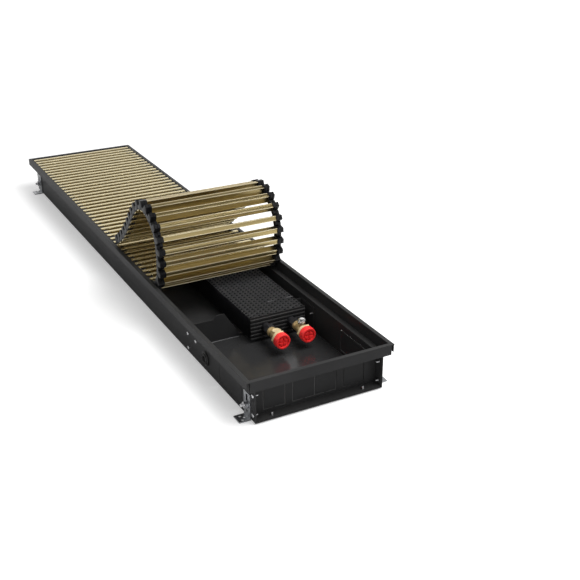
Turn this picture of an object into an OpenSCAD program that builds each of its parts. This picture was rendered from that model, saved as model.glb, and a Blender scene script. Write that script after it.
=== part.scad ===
// Trench convector heater: floor casing, finned heat exchanger, two connection valves
// and a roll-up grille whose near end is rolled back over the rest.
// X runs across the casing, Y along it with the valves at -Y, Z up from the subfloor.

/* [Casing] */
// Length over the rim
case_l = 1240; // [1000:20:3000]
// Width over the rim
case_w = 260; // [250:1:400]
// Height from the underside of the floor sheet to the rim
case_h = 78; // [76:1:120]
// Thickness of the casing sheet
sheet_t = 1.2; // [0.8:0.1:1.5]
// Width of the rim's top face
rim_w = 7; // [6:0.5:12]
// Width of the seat that carries the grille
seat_w = 9; // [8:0.5:14]
// Height of the hem along the sides
side_hem_h = 14; // [8:1:18]
// Height of the hem across the ends
end_hem_h = 18; // [8:1:18]
// Distance from the rim's end to the end wall
end_inset = 26; // [20:1:40]
// How far the lower casing stops short of the rim's end
end_short = 6; // [4:1:10]
// Open notch at each corner between the side hem and the end hem
corner_notch = 5; // [3:0.5:8]

/* [Knock-outs] */
// Width of one pipe knock-out
knock_w = 39; // [30:1:45]
// Gap between the pipe knock-outs and the grille's seat
knock_top_gap = 12; // [9:1:20]
// Height of the knock-outs above the underside
knock_z = 7; // [5:1:12]
// Width of the slits round a knock-out
slit_w = 1.2; // [0.8:0.1:2]
// Width of the tabs that hold a knock-out
tab_w = 3; // [2:0.5:5]
// Distance from the middle to the centre of an outer knock-out
outer_knock_x = 71.5; // [65:0.5:80]
// Length of the knock-out in each side wall
side_knock_l = 82; // [60:1:100]
// Distance from the end wall to the side knock-out
side_knock_gap = 28; // [10:1:40]

/* [Grille] */
// Pitch of the slats
pitch = 20; // [18:0.5:22]
// Height of the grille
grille_h = 20; // [18:0.5:22]
// Width of a slat's flanges
slat_w = 9; // [6:0.5:11]
// Height of a slat
slat_h = 18; // [14:0.5:18]
// Thickness of a slat's flanges
flange_t = 1.8; // [1:0.1:3]
// Thickness of a slat's web
web_t = 1.6; // [1:0.1:3]
// Depth of the hinge axis below the grille's top
hinge_depth = 5; // [4:0.25:6]
// Radius of a link's hinge pin
pin_r = 2; // [1.5:0.1:2.4]
// Width of an end link, measured across the grille
link_w = 12; // [9:0.5:14]
// Length of a link's solid middle, measured along the grille
link_core_l = 13; // [10:0.5:14]

/* [Heat exchanger] */
// Width of the fins
fin_w = 108; // [90:1:120]
// Gap between the fins and the grille's underside
fin_top_gap = 8.5; // [7.5:0.5:15]
// Thickness of a fin
fin_t = 0.6; // [0.4:0.1:1]
// Pitch of the fins
fin_pitch = 6; // [5:0.5:10]
// Outer diameter of the tube
tube_d = 15; // [12:1:18]
// Wall of the tube
tube_wall = 1; // [0.8:0.1:1.5]
// Distance between the two runs of the tube
tube_gap = 50; // [46:1:60]
// Gap between the fins and the right wall
fin_side_gap = 12.3; // [10:0.1:20]
// Length of the valve chamber, from the rim's end to the first fin
chamber_l = 238; // [230:1:300]
// Room left beyond the last fin, to the rim's far end
far_room = 100; // [90:1:140]

/* [Brackets] */
// Width of a levelling bracket
bracket_w = 21.5; // [18:0.5:26]
// Height of a levelling bracket
bracket_h = 45; // [42:1:50]
// Reach of a bracket's foot from the casing wall
foot_l = 20; // [18:0.5:30]
// Thickness of the bracket's sheet
bracket_t = 2; // [1.5:0.1:2.2]
// Distance from the rim's end to a bracket's middle
bracket_end = 32; // [30:1:60]
// Travel of a bracket on its bolt
bracket_travel = 15; // [5:1:15]
// Height of a bracket's bolt above the subfloor
bolt_z = 24; // [22:1:25]
// Radius of a bracket's bolt
bolt_r = 3; // [2.5:0.1:3]

/* [Valves] */
// Outer radius of a protective cap
cap_r = 14; // [13:0.25:16]
// Length of a protective cap
cap_l = 11; // [10:0.5:14]
// Radius of the disc on the lockshield
disc_r = 8; // [6:0.25:10]
// Radius of the valve knob
knob_r = 8.2; // [7:0.1:10]
// Number of grooves round the knob
knob_grooves = 18; // [12:1:24]

/* [Hidden] */
over = 1;
fit = 0.05;
slip = 0.3;

// Bend from each rolled link to the next in degrees, from the flat grille out to the tail
link_angles = [26, 26, 26, 9, 8, 16, 23, 14, 15, 22, 20, 14, 7, 1, 1, -2, -4, -6, -4];
rolled = len(link_angles) + 1;
tail_gap = 0.3;

// Levels and planes of the casing
lift = bracket_t;
rim_z = lift + case_h;
floor_z = lift + sheet_t;
seat_z = rim_z - grille_h;
drop_x = case_w / 2 - rim_w;
wall_x = drop_x - seat_w;
wall_in = wall_x - sheet_t;
end_y = case_l / 2;
drop_y = end_y - rim_w;
end_wall_y = end_y - end_inset;
body_y = end_y - end_short;
knock_h = seat_z - knock_top_gap - lift - knock_z;

// Grille and its links
end_play = 3;
slats = floor((case_l - 2 * rim_w - 2 * end_play) / pitch);
fixed = slats - rolled;
near_slat_y = -(slats - 1) / 2 * pitch;
hinge_z = rim_z - hinge_depth;
first_hinge_y = near_slat_y + (rolled - 0.5) * pitch;
link_side_gap = 0.6;
link_out = drop_x - link_side_gap;
link_in = link_out - link_w;
slat_end_step = 1;
seat_gap = 0.1;
link_top = hinge_depth - flange_t - fit;
link_bottom = hinge_depth - grille_h + seat_gap;
plate_gap = 0.4;
plate_t = (link_w - plate_gap) / 2;
ear_rim = 0.2;
ear_r = hinge_depth - ear_rim;
ear_clear = 0.5;

// Heat exchanger
fin_x1 = wall_in - fin_side_gap;
fin_x0 = fin_x1 - fin_w;
fin_mid = (fin_x0 + fin_x1) / 2;
support_lip = 5.3;
fin_z0 = floor_z + support_lip;
fin_z1 = seat_z - fin_top_gap;
fin_h = fin_z1 - fin_z0;
tube_z = fin_z0 + fin_h / 2;
tube_x = [fin_mid - tube_gap / 2, fin_mid + tube_gap / 2];
fins_y0 = -end_y + chamber_l;
fins = floor((case_l - chamber_l - far_room) / fin_pitch);
fins_y1 = fins_y0 + fins * fin_pitch;
tube_past = 8;
ribs = 6;
rib_d = 1.6;
plate_fin_t = 0.8;
rib_flat_share = 0.35;
rib_slope_share = 0.15;

// Cross supports under the exchanger, each below a fin
support_inset = 36;
support_fins = [round(support_inset / fin_pitch), round(fins / 2),
    fins - round(support_inset / fin_pitch)];
support_tab_l = 50;
support_drop = 4.5;
ear_rise = 2.5;
ear_out = 54;
ear_in = 34;
ear_step = 18;
ear_round = 7;
support_z = fin_z1 - support_drop;
ear_z = fin_z1 + ear_rise;
right_flange_z = fin_z1 - sheet_t;
screw_r = 1.75;
screw_head_r = 3.4;
screw_head_t = 2;
screw_taper_share = 0.7;
screw_l = 9;
support_screw_y = [10, 44];
support_screw_drop = 9;
support_screw_z = support_z - support_screw_drop;
support_low_rise = 6.8;

// Screws at the casing's ends
end_screw_in = 8;
end_screw_y = body_y - end_screw_in;
end_screw_low = 9.8;
end_screw_drop = 13;
end_screw_z = [floor_z + end_screw_low, seat_z - end_screw_drop];
base_screw_x = 82;
base_screw_l = 9;
base_head_t = 1.4;
flange_reach = 18;

// Cable grommet
grommet_gap = 48;
grommet_y = fins_y0 - grommet_gap;
grommet_drop = 5;
grommet_z = tube_z - grommet_drop;
grommet_r = 12.5;
grommet_neck_r = 9;
grommet_bore_r = 6;
grommet_rim_t = 3;
grommet_step_r = 10;
grommet_step_t = 1.5;

// Bracket, bolt, washer and nut
bracket_y = end_y - bracket_end;
slot_clear = 0.2;
washer_r = 7;
washer_t = 1.2;
nut_r = 5.8;
nut_t = 5;
bolt_end = 5;
bolt_head_r = 4.6;
bolt_head_t = 3;
hole_low_z = 12.5;
hole_low_r = 2.6;
anchor_r = 2.5;
anchor_out = 12;
anchor_in = 6.5;
anchor_pair = 5.5;

// Valves, measured out from the first fin towards the near end
union_gap = 10;
union_y = fins_y0 - union_gap;
union_l = 11;
union_r = 10.5;
hex_round_share = 0.96;
body_l = 28;
body_r = 8.6;
valve_bore_r = tube_d / 2 - tube_wall;
spindle_gap = 0.4;
spindle_in = body_l - disc_r - spindle_gap;
spindle_y = union_y - union_l - spindle_in;
spindle_r = 6.5;
collar_l = 6.5;
collar_r = 15.2;
collar_y = union_y - union_l - body_l;
spigot_l = 6.5;
spigot_r = 11.5;
cap_y = collar_y - collar_l;
cap_ring_r = 9.5;
cap_recess = 1.6;
cap_hub_r = 7;
cross_w = 2.4;
cross_h = 1.2;
gasket_t = 1.2;
gasket_in_r = 7;
stem_r = 3;
stem_z = tube_z + valve_bore_r;
lock_boss_h = 9.5;
lock_boss_z = tube_z + lock_boss_h;
disc_t = 2.2;
knob_boss_h = 12;
knob_boss_z = tube_z + knob_boss_h;
knob_h = 9.5;
knob_groove_d = 0.7;
knob_waist_h = 1.6;
knob_chamfer = 1.2;
knob_slot_w = 1.4;
knob_slot_d = 1;
knob_slot_l = 8;
knob_edge = 0.3;

black = [0.05, 0.05, 0.055];
gold = [0.78, 0.68, 0.46];
zinc = [0.72, 0.73, 0.74];
brass = [0.80, 0.62, 0.30];
red = [0.85, 0.05, 0.06];

// Direction of a rolled link: 0 lies flat, 90 stands up, 180 lies back over the grille
function link_dir(i) = i < 0 ? 0 : i < rolled - 1 ? link_dir(i - 1) + link_angles[i] : tail_dir();

// Direction of the last link, whose corner (along, above its hinge) meets the flat grille
function corner_dir(a, h) =
    180 + asin((hinge_at(rolled - 1)[1] - rim_z - tail_gap) / norm([a, h])) - atan(h / a);
function tail_dir() = min(corner_dir((pitch + slat_w) / 2, hinge_depth),
    corner_dir((pitch + link_core_l) / 2, link_top));

// Hinge of rolled link i in the plane across X: [y, z]
function hinge_at(i) = i == 0
    ? [first_hinge_y, hinge_z]
    : hinge_at(i - 1) + pitch * [-cos(link_dir(i - 1)), sin(link_dir(i - 1))];

// A shape drawn in the YZ plane, extruded along X from x0 to x1
module along_x(x0, x1) {
    translate([x0, 0, 0])
        rotate([90, 0, 90])
            linear_extrude(height = x1 - x0) children();
}

// A shape drawn in the XZ plane, extruded along Y from y0 to y1
module along_y(y0, y1) {
    translate([0, y1, 0])
        rotate([90, 0, 0])
            linear_extrude(height = y1 - y0) children();
}

// A block given by two opposite corners
module block(a, b) {
    translate(a) cube(b - a);
}

// A round bar along X
module rod_x(x0, x1, y, z, r) {
    translate([x0, y, z]) rotate([0, 90, 0]) cylinder(r = r, h = x1 - x0, $fn = 48);
}

// A round bar along Y
module rod_y(x, y0, y1, z, r) {
    translate([x, y0, z]) rotate([-90, 0, 0]) cylinder(r = r, h = y1 - y0, $fn = 48);
}

// A round bar along Z
module rod_z(x, y, z0, z1, r) {
    translate([x, y, z0]) cylinder(r = r, h = z1 - z0, $fn = 48);
}

// Both sides of the casing
module both_sides() {
    children();
    mirror([1, 0, 0]) children();
}

// Both ends of the casing
module both_ends() {
    children();
    mirror([0, 1, 0]) children();
}

// Slits round a knock-out from (a0, z0) to (a1, z1), with a tab in the top and bottom
module knock_slits(a0, a1, z0, z1) {
    mid = (a0 + a1) / 2;
    translate([a0, z0]) square([slit_w, z1 - z0]);
    translate([a1 - slit_w, z0]) square([slit_w, z1 - z0]);
    for (z = [z0, z1 - slit_w]) {
        translate([a0, z]) square([mid - tab_w / 2 - a0, slit_w]);
        translate([mid + tab_w / 2, z]) square([a1 - mid - tab_w / 2, slit_w]);
    }
}

// Section of one side of the trough, from the middle of the floor to the hem
module trough_side() {
    translate([0, lift]) square([wall_x, sheet_t]);
    translate([wall_in, lift]) square([sheet_t, seat_z - lift]);
    translate([wall_in, seat_z - sheet_t]) square([drop_x + sheet_t - wall_in, sheet_t]);
    translate([drop_x, seat_z - sheet_t]) square([sheet_t, rim_z - seat_z + sheet_t]);
    translate([drop_x, rim_z - sheet_t]) square([rim_w, sheet_t]);
    translate([case_w / 2 - sheet_t, rim_z - side_hem_h]) square([sheet_t, side_hem_h]);
}

// Folded trough: floor, side walls, grille seats and side rims
module casing_trough() {
    color(black)
    difference() {
        along_y(-end_y + sheet_t, end_y - sheet_t) {
            trough_side();
            mirror([1, 0]) trough_side();
        }
        both_ends() {
            // the end's rim lies over the corner
            block([-case_w, drop_y, rim_z - sheet_t], [case_w, end_y, rim_z + over]);
            both_sides() {
                block([wall_in - over, drop_y + sheet_t, seat_z - sheet_t - over],
                    [case_w / 2 - sheet_t, end_y, rim_z + over]);
                block([wall_in - over, body_y, 0], [wall_x + over, end_y, seat_z]);
                rod_x(wall_in - over, wall_x + over, bracket_y, bolt_z, bolt_r + fit);
                for (z = end_screw_z)
                    rod_x(wall_in - over, wall_x + over, end_screw_y, z,
                        screw_r + fit);
                rod_z(base_screw_x, end_screw_y, lift - over, floor_z + over, screw_r + fit);
            }
            block([-case_w / 2, body_y, 0], [case_w / 2, end_y, floor_z + over]);
        }
        both_sides() {
            along_x(wall_in - over, wall_x + over)
                knock_slits(-end_wall_y + side_knock_gap,
                    -end_wall_y + side_knock_gap + side_knock_l,
                    lift + knock_z, lift + knock_z + knock_h);
            for (d = support_screw_y)
                rod_x(wall_in - over, wall_x + over, support_rows()[0] - d,
                    support_screw_z, screw_r + fit);
        }
        rod_x(-wall_x - over, -wall_in + over, support_rows()[0] - support_screw_y[0],
            floor_z + support_low_rise, screw_r + fit);
        rod_x(-wall_x - over, -wall_in + over, grommet_y, grommet_z, grommet_neck_r + fit);
    }
}

// Folded end: hem, rim, drop, seat, end wall with knock-outs and its flanges
module end_panel() {
    hem_x = case_w / 2 - corner_notch;
    top_z = lift + knock_z + knock_h;
    color(black)
    difference() {
        union() {
            block([-hem_x, end_y - sheet_t, rim_z - end_hem_h], [hem_x, end_y, rim_z]);
            block([-case_w / 2, drop_y, rim_z - sheet_t], [case_w / 2, end_y, rim_z]);
            block([-drop_x, drop_y, seat_z], [drop_x, drop_y + sheet_t, rim_z]);
            block([-wall_in, drop_y, seat_z - sheet_t], [wall_in, drop_y + sheet_t, rim_z]);
            block([-wall_in, end_wall_y - sheet_t, seat_z - sheet_t],
                [wall_in, drop_y + sheet_t, seat_z]);
            block([-wall_in, end_wall_y - sheet_t, floor_z], [wall_in, end_wall_y, seat_z]);
            block([-wall_in, end_wall_y - sheet_t, floor_z],
                [wall_in, end_wall_y + flange_reach, floor_z + sheet_t]);
            both_sides()
                block([wall_in - sheet_t, end_wall_y - sheet_t, floor_z],
                    [wall_in, end_wall_y + flange_reach, seat_z - 2 * sheet_t]);
        }
        along_y(end_wall_y - sheet_t - over, end_wall_y + over) {
            knock_slits(-knock_w - slit_w / 2, slit_w / 2, lift + knock_z, top_z);
            knock_slits(-slit_w / 2, knock_w + slit_w / 2, lift + knock_z, top_z);
            for (s = [-1, 1])
                knock_slits(s * outer_knock_x - knock_w / 2, s * outer_knock_x + knock_w / 2,
                    lift + knock_z, top_z);
        }
        both_sides() {
            for (z = end_screw_z)
                rod_x(wall_in - sheet_t - over, wall_in + over, end_screw_y, z,
                    screw_r + fit);
            rod_z(base_screw_x, end_screw_y, floor_z - over, floor_z + sheet_t + over,
                screw_r + fit);
        }
    }
}

module end_panel_near() {
    mirror([0, 1, 0]) end_panel();
}

module end_panel_far() {
    end_panel();
}

// Screw along +Z from the underside of its head
module screw(l, head_t) {
    translate([0, 0, -head_t])
        cylinder(r1 = screw_head_r * screw_taper_share, r2 = screw_head_r, h = head_t, $fn = 32);
    cylinder(r = screw_r, h = l, $fn = 32);
}

// Screws that hold the end panels in the trough, from the sides and from below
module end_panel_screws() {
    color(zinc)
    both_ends() both_sides() {
        for (z = end_screw_z)
            translate([wall_x, end_screw_y, z])
                rotate([0, -90, 0]) screw(screw_l, screw_head_t);
        translate([base_screw_x, end_screw_y, lift]) screw(base_screw_l, base_head_t);
    }
}

// Rounded corner of the support's raised ear
function ear_corner() = let (c = [fin_x0 - ear_out + ear_round, ear_z - ear_round])
    [for (a = [180:-15:90]) c + ear_round * [cos(a), sin(a)]];

// Outline of one cross support, seen along Y
module support_outline() {
    polygon(concat(
        [[-wall_in, floor_z], [-wall_in, support_z],
            [fin_x0 - ear_out - ear_step, support_z]],
        ear_corner(),
        [[fin_x0 - ear_in, ear_z], [fin_x0 - support_lip, fin_z0], [fin_x1, fin_z0],
            [fin_x1, right_flange_z], [wall_in, right_flange_z], [wall_in, floor_z]]));
}

// Cross support that carries the fins; the one behind the valves is screwed to both walls
module cross_support(y, screwed) {
    low_z = fin_z0;
    top_z = right_flange_z + sheet_t;
    difference() {
        union() {
            along_y(y - sheet_t, y) support_outline();
            block([-wall_in, y - support_tab_l, low_z], [-wall_in + sheet_t, y, support_z]);
            block([wall_in - sheet_t, y - support_tab_l, low_z], [wall_in, y, top_z]);
            block([fin_x1, y - support_tab_l, right_flange_z], [wall_in, y, top_z]);
        }
        if (screwed) {
            both_sides() for (d = support_screw_y)
                rod_x(wall_in - sheet_t - over, wall_in + over, y - d,
                    support_screw_z, screw_r + fit);
            rod_x(-wall_in - over, -wall_in + sheet_t + over, y - support_screw_y[0],
                floor_z + support_low_rise, screw_r + fit);
        }
    }
}

// Far face of each cross support, in line with the fin that it carries
function support_rows() = [for (k = support_fins) fins_y0 + k * fin_pitch + fin_t];

module exchanger_supports() {
    color(black)
    for (y = support_rows()) cross_support(y, y == support_rows()[0]);
}

// Screws through both walls into the first support, with a low one on the left
module support_screws() {
    y = support_rows()[0];
    color(zinc) {
        both_sides() for (d = support_screw_y)
            translate([wall_x, y - d, support_screw_z])
                rotate([0, -90, 0]) screw(screw_l, screw_head_t);
        translate([-wall_x, y - support_screw_y[0], floor_z + support_low_rise])
            rotate([0, 90, 0]) screw(screw_l, screw_head_t);
    }
}

// One fin: a sheet with the two tube holes
module fin_outline() {
    difference() {
        translate([fin_x0, fin_z0]) square([fin_w, fin_h]);
        for (x = tube_x) translate([x, tube_z]) circle(r = tube_d / 2 + fit, $fn = 48);
    }
}

// Fins along the tube, between the two end plates
module exchanger_fins() {
    color(black)
    for (k = [1:fins - 1])
        along_y(fins_y0 + k * fin_pitch, fins_y0 + k * fin_pitch + fin_t) fin_outline();
}

// Corrugated plate at each end of the fins
function rib_points(d) = [for (k = [0:ribs - 1], s = [0, 1, 2, 3])
    let (p = fin_h / ribs,
        share = [0, rib_flat_share, rib_flat_share + rib_slope_share,
            2 * rib_flat_share + rib_slope_share][s])
    [d - (s < 2 ? rib_d : 0), fin_z0 + (k + share) * p]];

module ribbed_plate() {
    front = rib_points(0);
    back = rib_points(plate_fin_t);
    difference() {
        along_x(fin_x0, fin_x1)
            polygon(concat(front, [[0, fin_z1], [plate_fin_t, fin_z1]],
                [for (k = [len(back) - 1:-1:0]) back[k]]));
        for (x = tube_x)
            rod_y(x, -rib_d - over, plate_fin_t + over, tube_z, tube_d / 2 + fit);
    }
}

module exchanger_end_plates() {
    color(black) {
        translate([0, fins_y0 + rib_d, 0]) ribbed_plate();
        translate([0, fins_y1 - rib_d, 0]) mirror([0, 1, 0]) ribbed_plate();
    }
}

// Hairpin tube through the fins, with its return bend at the far end
module exchanger_tube() {
    bend_y = fins_y1 + tube_past;
    color(black)
    difference() {
        union() {
            for (x = tube_x) rod_y(x, union_y - union_l, bend_y, tube_z, tube_d / 2);
            translate([fin_mid, bend_y, tube_z])
                rotate_extrude(angle = 180, $fn = 96)
                    translate([tube_gap / 2, 0]) circle(r = tube_d / 2, $fn = 48);
        }
        for (x = tube_x) rod_y(x, union_y - union_l - over, bend_y, tube_z, valve_bore_r);
        translate([fin_mid, bend_y, tube_z])
            rotate_extrude(angle = 180, $fn = 96)
                translate([tube_gap / 2, 0]) circle(r = valve_bore_r, $fn = 48);
    }
}

// Hexagonal or round bar along Y with softened corners
module hex_y(x, y0, y1, z, r) {
    translate([x, y0, z]) rotate([-90, 0, 0])
        intersection() {
            cylinder(r = r, h = y1 - y0, $fn = 6);
            cylinder(r = r * hex_round_share, h = y1 - y0, $fn = 48);
        }
}

// Union nuts that clamp the tube ends to the valves
module union_nuts() {
    color(brass)
    for (x = tube_x)
        difference() {
            hex_y(x, union_y - union_l, union_y, tube_z, union_r);
            rod_y(x, union_y - union_l - over, union_y + over, tube_z, tube_d / 2 + fit);
        }
}

// Straight valve: body, spindle boss, hexagonal collar and the spigot under the cap
module valve_housing(x, boss_z) {
    difference() {
        union() {
            rod_y(x, collar_y, union_y - union_l, tube_z, body_r);
            rod_z(x, spindle_y, tube_z, boss_z, spindle_r);
            hex_y(x, cap_y, collar_y, tube_z, collar_r);
            rod_y(x, cap_y - spigot_l, cap_y, tube_z, spigot_r);
        }
        rod_y(x, cap_y - spigot_l - over, union_y - union_l + over, tube_z, valve_bore_r);
        rod_z(x, spindle_y, tube_z, boss_z + over, stem_r + fit);
    }
}

module lockshield_body() {
    color(brass) valve_housing(tube_x[0], lock_boss_z);
}

module valve_body() {
    color(brass) valve_housing(tube_x[1], knob_boss_z);
}

// Brass disc on a stem that closes the lockshield spindle
module lockshield_cap() {
    top_z = lock_boss_z + slip;
    color(brass) {
        translate([tube_x[0], spindle_y, top_z]) {
            cylinder(r = disc_r, h = disc_t / 2, $fn = 48);
            translate([0, 0, disc_t / 2])
                cylinder(r1 = disc_r, r2 = disc_r - disc_t / 2, h = disc_t / 2, $fn = 48);
        }
        rod_z(tube_x[0], spindle_y, stem_z, top_z, stem_r);
    }
}

// Outline of the grooved grip
module grooved_outline(r, d, n) {
    polygon([for (k = [0:2 * n - 1])
        (r - (k % 2) * d) * [cos(180 * k / n), sin(180 * k / n)]]);
}

// Knurled knob on the other valve
module valve_knob() {
    base_z = knob_boss_z + slip;
    grip_z = base_z + knob_waist_h;
    top_z = base_z + knob_h;
    knob_top_r = knob_r - knob_groove_d - knob_edge;
    color(zinc)
    difference() {
        union() {
            rod_z(tube_x[1], spindle_y, stem_z, base_z, stem_r);
            rod_z(tube_x[1], spindle_y, base_z, grip_z, knob_r - knob_waist_h);
            translate([tube_x[1], spindle_y, grip_z])
                linear_extrude(height = top_z - knob_chamfer - grip_z)
                    grooved_outline(knob_r, knob_groove_d, knob_grooves);
            translate([tube_x[1], spindle_y, top_z - knob_chamfer])
                cylinder(r1 = knob_top_r, r2 = knob_top_r - knob_chamfer, h = knob_chamfer, $fn = 48);
        }
        block([tube_x[1] - knob_slot_l / 2, spindle_y - knob_slot_w / 2, top_z - knob_slot_d],
            [tube_x[1] + knob_slot_l / 2, spindle_y + knob_slot_w / 2, top_z + over]);
    }
}

// Flat gasket between the spigot's end and the cap
module cap_gasket(x) {
    y1 = cap_y - spigot_l;
    color([0.12, 0.12, 0.12])
    difference() {
        rod_y(x, y1 - gasket_t, y1, tube_z, spigot_r - slip);
        rod_y(x, y1 - gasket_t - over, y1 + over, tube_z, gasket_in_r);
    }
}

// Screw-on protective cap with a ring recess and a cross on its face
module protective_cap(x) {
    face_y = cap_y - cap_l;
    seat_y = cap_y - spigot_l - gasket_t;
    color(red)
    difference() {
        rod_y(x, face_y, cap_y - slip, tube_z, cap_r);
        rod_y(x, seat_y, cap_y + over, tube_z, spigot_r + fit);
        difference() {
            rod_y(x, face_y - over, face_y + cap_recess, tube_z, cap_ring_r);
            for (turn = [0, 90])
                translate([x, face_y, tube_z]) rotate([0, turn, 0])
                    block([-cap_hub_r, cap_recess - cross_h, -cross_w / 2],
                        [cap_hub_r, cap_recess + over, cross_w / 2]);
        }
    }
}

// Rubber grommet for the cable in the left wall
module cable_grommet() {
    rim_x = -wall_x - grommet_rim_t;
    color([0.03, 0.03, 0.03])
    difference() {
        union() {
            rod_x(rim_x, -wall_x, grommet_y, grommet_z, grommet_r);
            rod_x(rim_x - grommet_step_t, rim_x, grommet_y, grommet_z, grommet_step_r);
            rod_x(-wall_x, -wall_in, grommet_y, grommet_z, grommet_neck_r);
            rod_x(-wall_in, -wall_in + grommet_rim_t, grommet_y, grommet_z, grommet_r);
        }
        rod_x(rim_x - grommet_step_t - over, -wall_in + grommet_rim_t + over,
            grommet_y, grommet_z, grommet_bore_r);
    }
}

// Levelling bracket for the right side of the far end
module bracket() {
    slot_r = bolt_r + slot_clear;
    color(zinc)
    translate([0, bracket_y, 0])
        difference() {
            union() {
                block([wall_x, -bracket_w / 2, 0], [wall_x + bracket_t, bracket_w / 2, bracket_h]);
                block([wall_x, -bracket_w / 2, 0], [wall_x + foot_l, bracket_w / 2, bracket_t]);
            }
            rod_x(wall_x - over, wall_x + bracket_t + over, 0, bolt_z, slot_r);
            rod_x(wall_x - over, wall_x + bracket_t + over, 0, bolt_z + bracket_travel, slot_r);
            block([wall_x - over, -slot_r, bolt_z],
                [wall_x + bracket_t + over, slot_r, bolt_z + bracket_travel]);
            rod_x(wall_x - over, wall_x + bracket_t + over, 0, hole_low_z, hole_low_r);
            for (y = [-anchor_pair, anchor_pair])
                rod_z(wall_x + anchor_out, y, -over, bracket_t + over, anchor_r);
            rod_z(wall_x + anchor_in, 0, -over, bracket_t + over, anchor_r);
        }
}

module bracket_near_left() { mirror([1, 0, 0]) mirror([0, 1, 0]) bracket(); }

module bracket_near_right() { mirror([0, 1, 0]) bracket(); }

module bracket_far_left() { mirror([1, 0, 0]) bracket(); }

module bracket_far_right() { bracket(); }

// Bolts through the walls and the bracket slots
module bracket_bolts() {
    washer_x = wall_x + bracket_t + washer_t;
    color(zinc)
    both_ends() both_sides() {
        rod_x(wall_in - bolt_head_t, wall_in, bracket_y, bolt_z, bolt_head_r);
        rod_x(wall_in, washer_x + nut_t + bolt_end, bracket_y, bolt_z, bolt_r);
    }
}

module bracket_washers() {
    x0 = wall_x + bracket_t;
    color(zinc)
    both_ends() both_sides()
        difference() {
            rod_x(x0, x0 + washer_t, bracket_y, bolt_z, washer_r);
            rod_x(x0 - over, x0 + washer_t + over, bracket_y, bolt_z, bolt_r + fit);
        }
}

module bracket_nuts() {
    x0 = wall_x + bracket_t + washer_t;
    color(zinc)
    both_ends() both_sides()
        difference() {
            translate([x0, bracket_y, bolt_z]) rotate([0, 90, 0])
                cylinder(r = nut_r, h = nut_t, $fn = 6);
            rod_x(x0 - over, x0 + nut_t + over, bracket_y, bolt_z, bolt_r + fit);
        }
}

// A slat's flange across its web, with its top at height h above the hinge
module slat_flange(h) {
    translate([-slat_w / 2, h - flange_t]) square([slat_w, flange_t]);
}

// Slat: an I section between the links, whose top flange runs on over both of them
module slat() {
    bottom = hinge_depth - slat_h;
    web_x = link_in - fit;
    flange_x = link_out - slat_end_step;
    color(gold) {
        along_x(-web_x, web_x) {
            slat_flange(bottom + flange_t);
            translate([-web_t / 2, bottom]) square([web_t, slat_h]);
        }
        along_x(-flange_x, flange_x) slat_flange(hinge_depth);
    }
}

module link_core() {
    translate([-link_core_l / 2, link_bottom]) square([link_core_l, link_top - link_bottom]);
}

// Ear round the hinge on one side of a link: s is 1 towards +Y, -1 towards -Y
module link_ear(s) {
    translate([s > 0 ? 0 : -pitch / 2, -ear_r]) square([pitch / 2, ear_r + link_top]);
    translate([s * pitch / 2, 0]) circle(r = ear_r, $fn = 48);
}

// Inner plate, which carries the pin on its +Y side
module inner_plate(eared) {
    difference() {
        union() {
            link_core();
            if (eared) link_ear(1);
        }
        translate([-pitch / 2, 0]) circle(r = ear_r + ear_clear, $fn = 48);
    }
}

// Outer plate, which turns on the next link's pin at its -Y side
module outer_plate(eared) {
    difference() {
        union() {
            link_core();
            if (eared) link_ear(-1);
        }
        translate([pitch / 2, 0]) circle(r = ear_r + ear_clear, $fn = 48);
        translate([-pitch / 2, 0]) circle(r = pin_r + fit, $fn = 48);
    }
}

// End link of a slat on the right side; ears[0] towards +Y, ears[1] towards -Y
module end_link(ears) {
    gap_x = link_in + plate_t;
    outer_x = gap_x + plate_gap;
    color(black) {
        along_x(link_in, gap_x) inner_plate(ears[0]);
        along_x(gap_x, outer_x)
            intersection() {
                inner_plate(false);
                outer_plate(false);
            }
        along_x(outer_x, link_out) outer_plate(ears[1]);
        if (ears[0]) rod_x(gap_x, link_out, pitch / 2, 0, pin_r);
    }
}

// Link i of the rolled end: a slat with a link at each end
module grille_link(i) {
    h = hinge_at(i);
    translate([0, h[0], h[1]])
        rotate([-link_dir(i), 0, 0])
            translate([0, -pitch / 2, 0]) {
                slat();
                both_sides() end_link([true, i < rolled - 1]);
            }
}

// Places along the flat part of the grille
module fixed_places() {
    for (k = [0:fixed - 1])
        translate([0, near_slat_y + (rolled + k) * pitch, hinge_z]) {
            $last = k == fixed - 1;
            children();
        }
}

module fixed_slats() {
    fixed_places() slat();
}

module fixed_links_right() {
    fixed_places() end_link([!$last, true]);
}

module fixed_links_left() {
    mirror([1, 0, 0]) fixed_links_right();
}

casing_trough();
end_panel_near();
end_panel_far();
end_panel_screws();
exchanger_supports();
support_screws();
exchanger_fins();
exchanger_end_plates();
exchanger_tube();
union_nuts();
lockshield_body();
valve_body();
lockshield_cap();
valve_knob();
cap_gasket(tube_x[0]);  // cap_gasket_left
cap_gasket(tube_x[1]);  // cap_gasket_right
protective_cap(tube_x[0]);  // protective_cap_left
protective_cap(tube_x[1]);  // protective_cap_right
cable_grommet();
bracket_near_left();
bracket_near_right();
bracket_far_left();
bracket_far_right();
bracket_bolts();
bracket_washers();
bracket_nuts();
fixed_slats();
fixed_links_left();
fixed_links_right();
grille_link(0);  // grille_link_01
grille_link(1);  // grille_link_02
grille_link(2);  // grille_link_03
grille_link(3);  // grille_link_04
grille_link(4);  // grille_link_05
grille_link(5);  // grille_link_06
grille_link(6);  // grille_link_07
grille_link(7);  // grille_link_08
grille_link(8);  // grille_link_09
grille_link(9);  // grille_link_10
grille_link(10);  // grille_link_11
grille_link(11);  // grille_link_12
grille_link(12);  // grille_link_13
grille_link(13);  // grille_link_14
grille_link(14);  // grille_link_15
grille_link(15);  // grille_link_16
grille_link(16);  // grille_link_17
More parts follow.
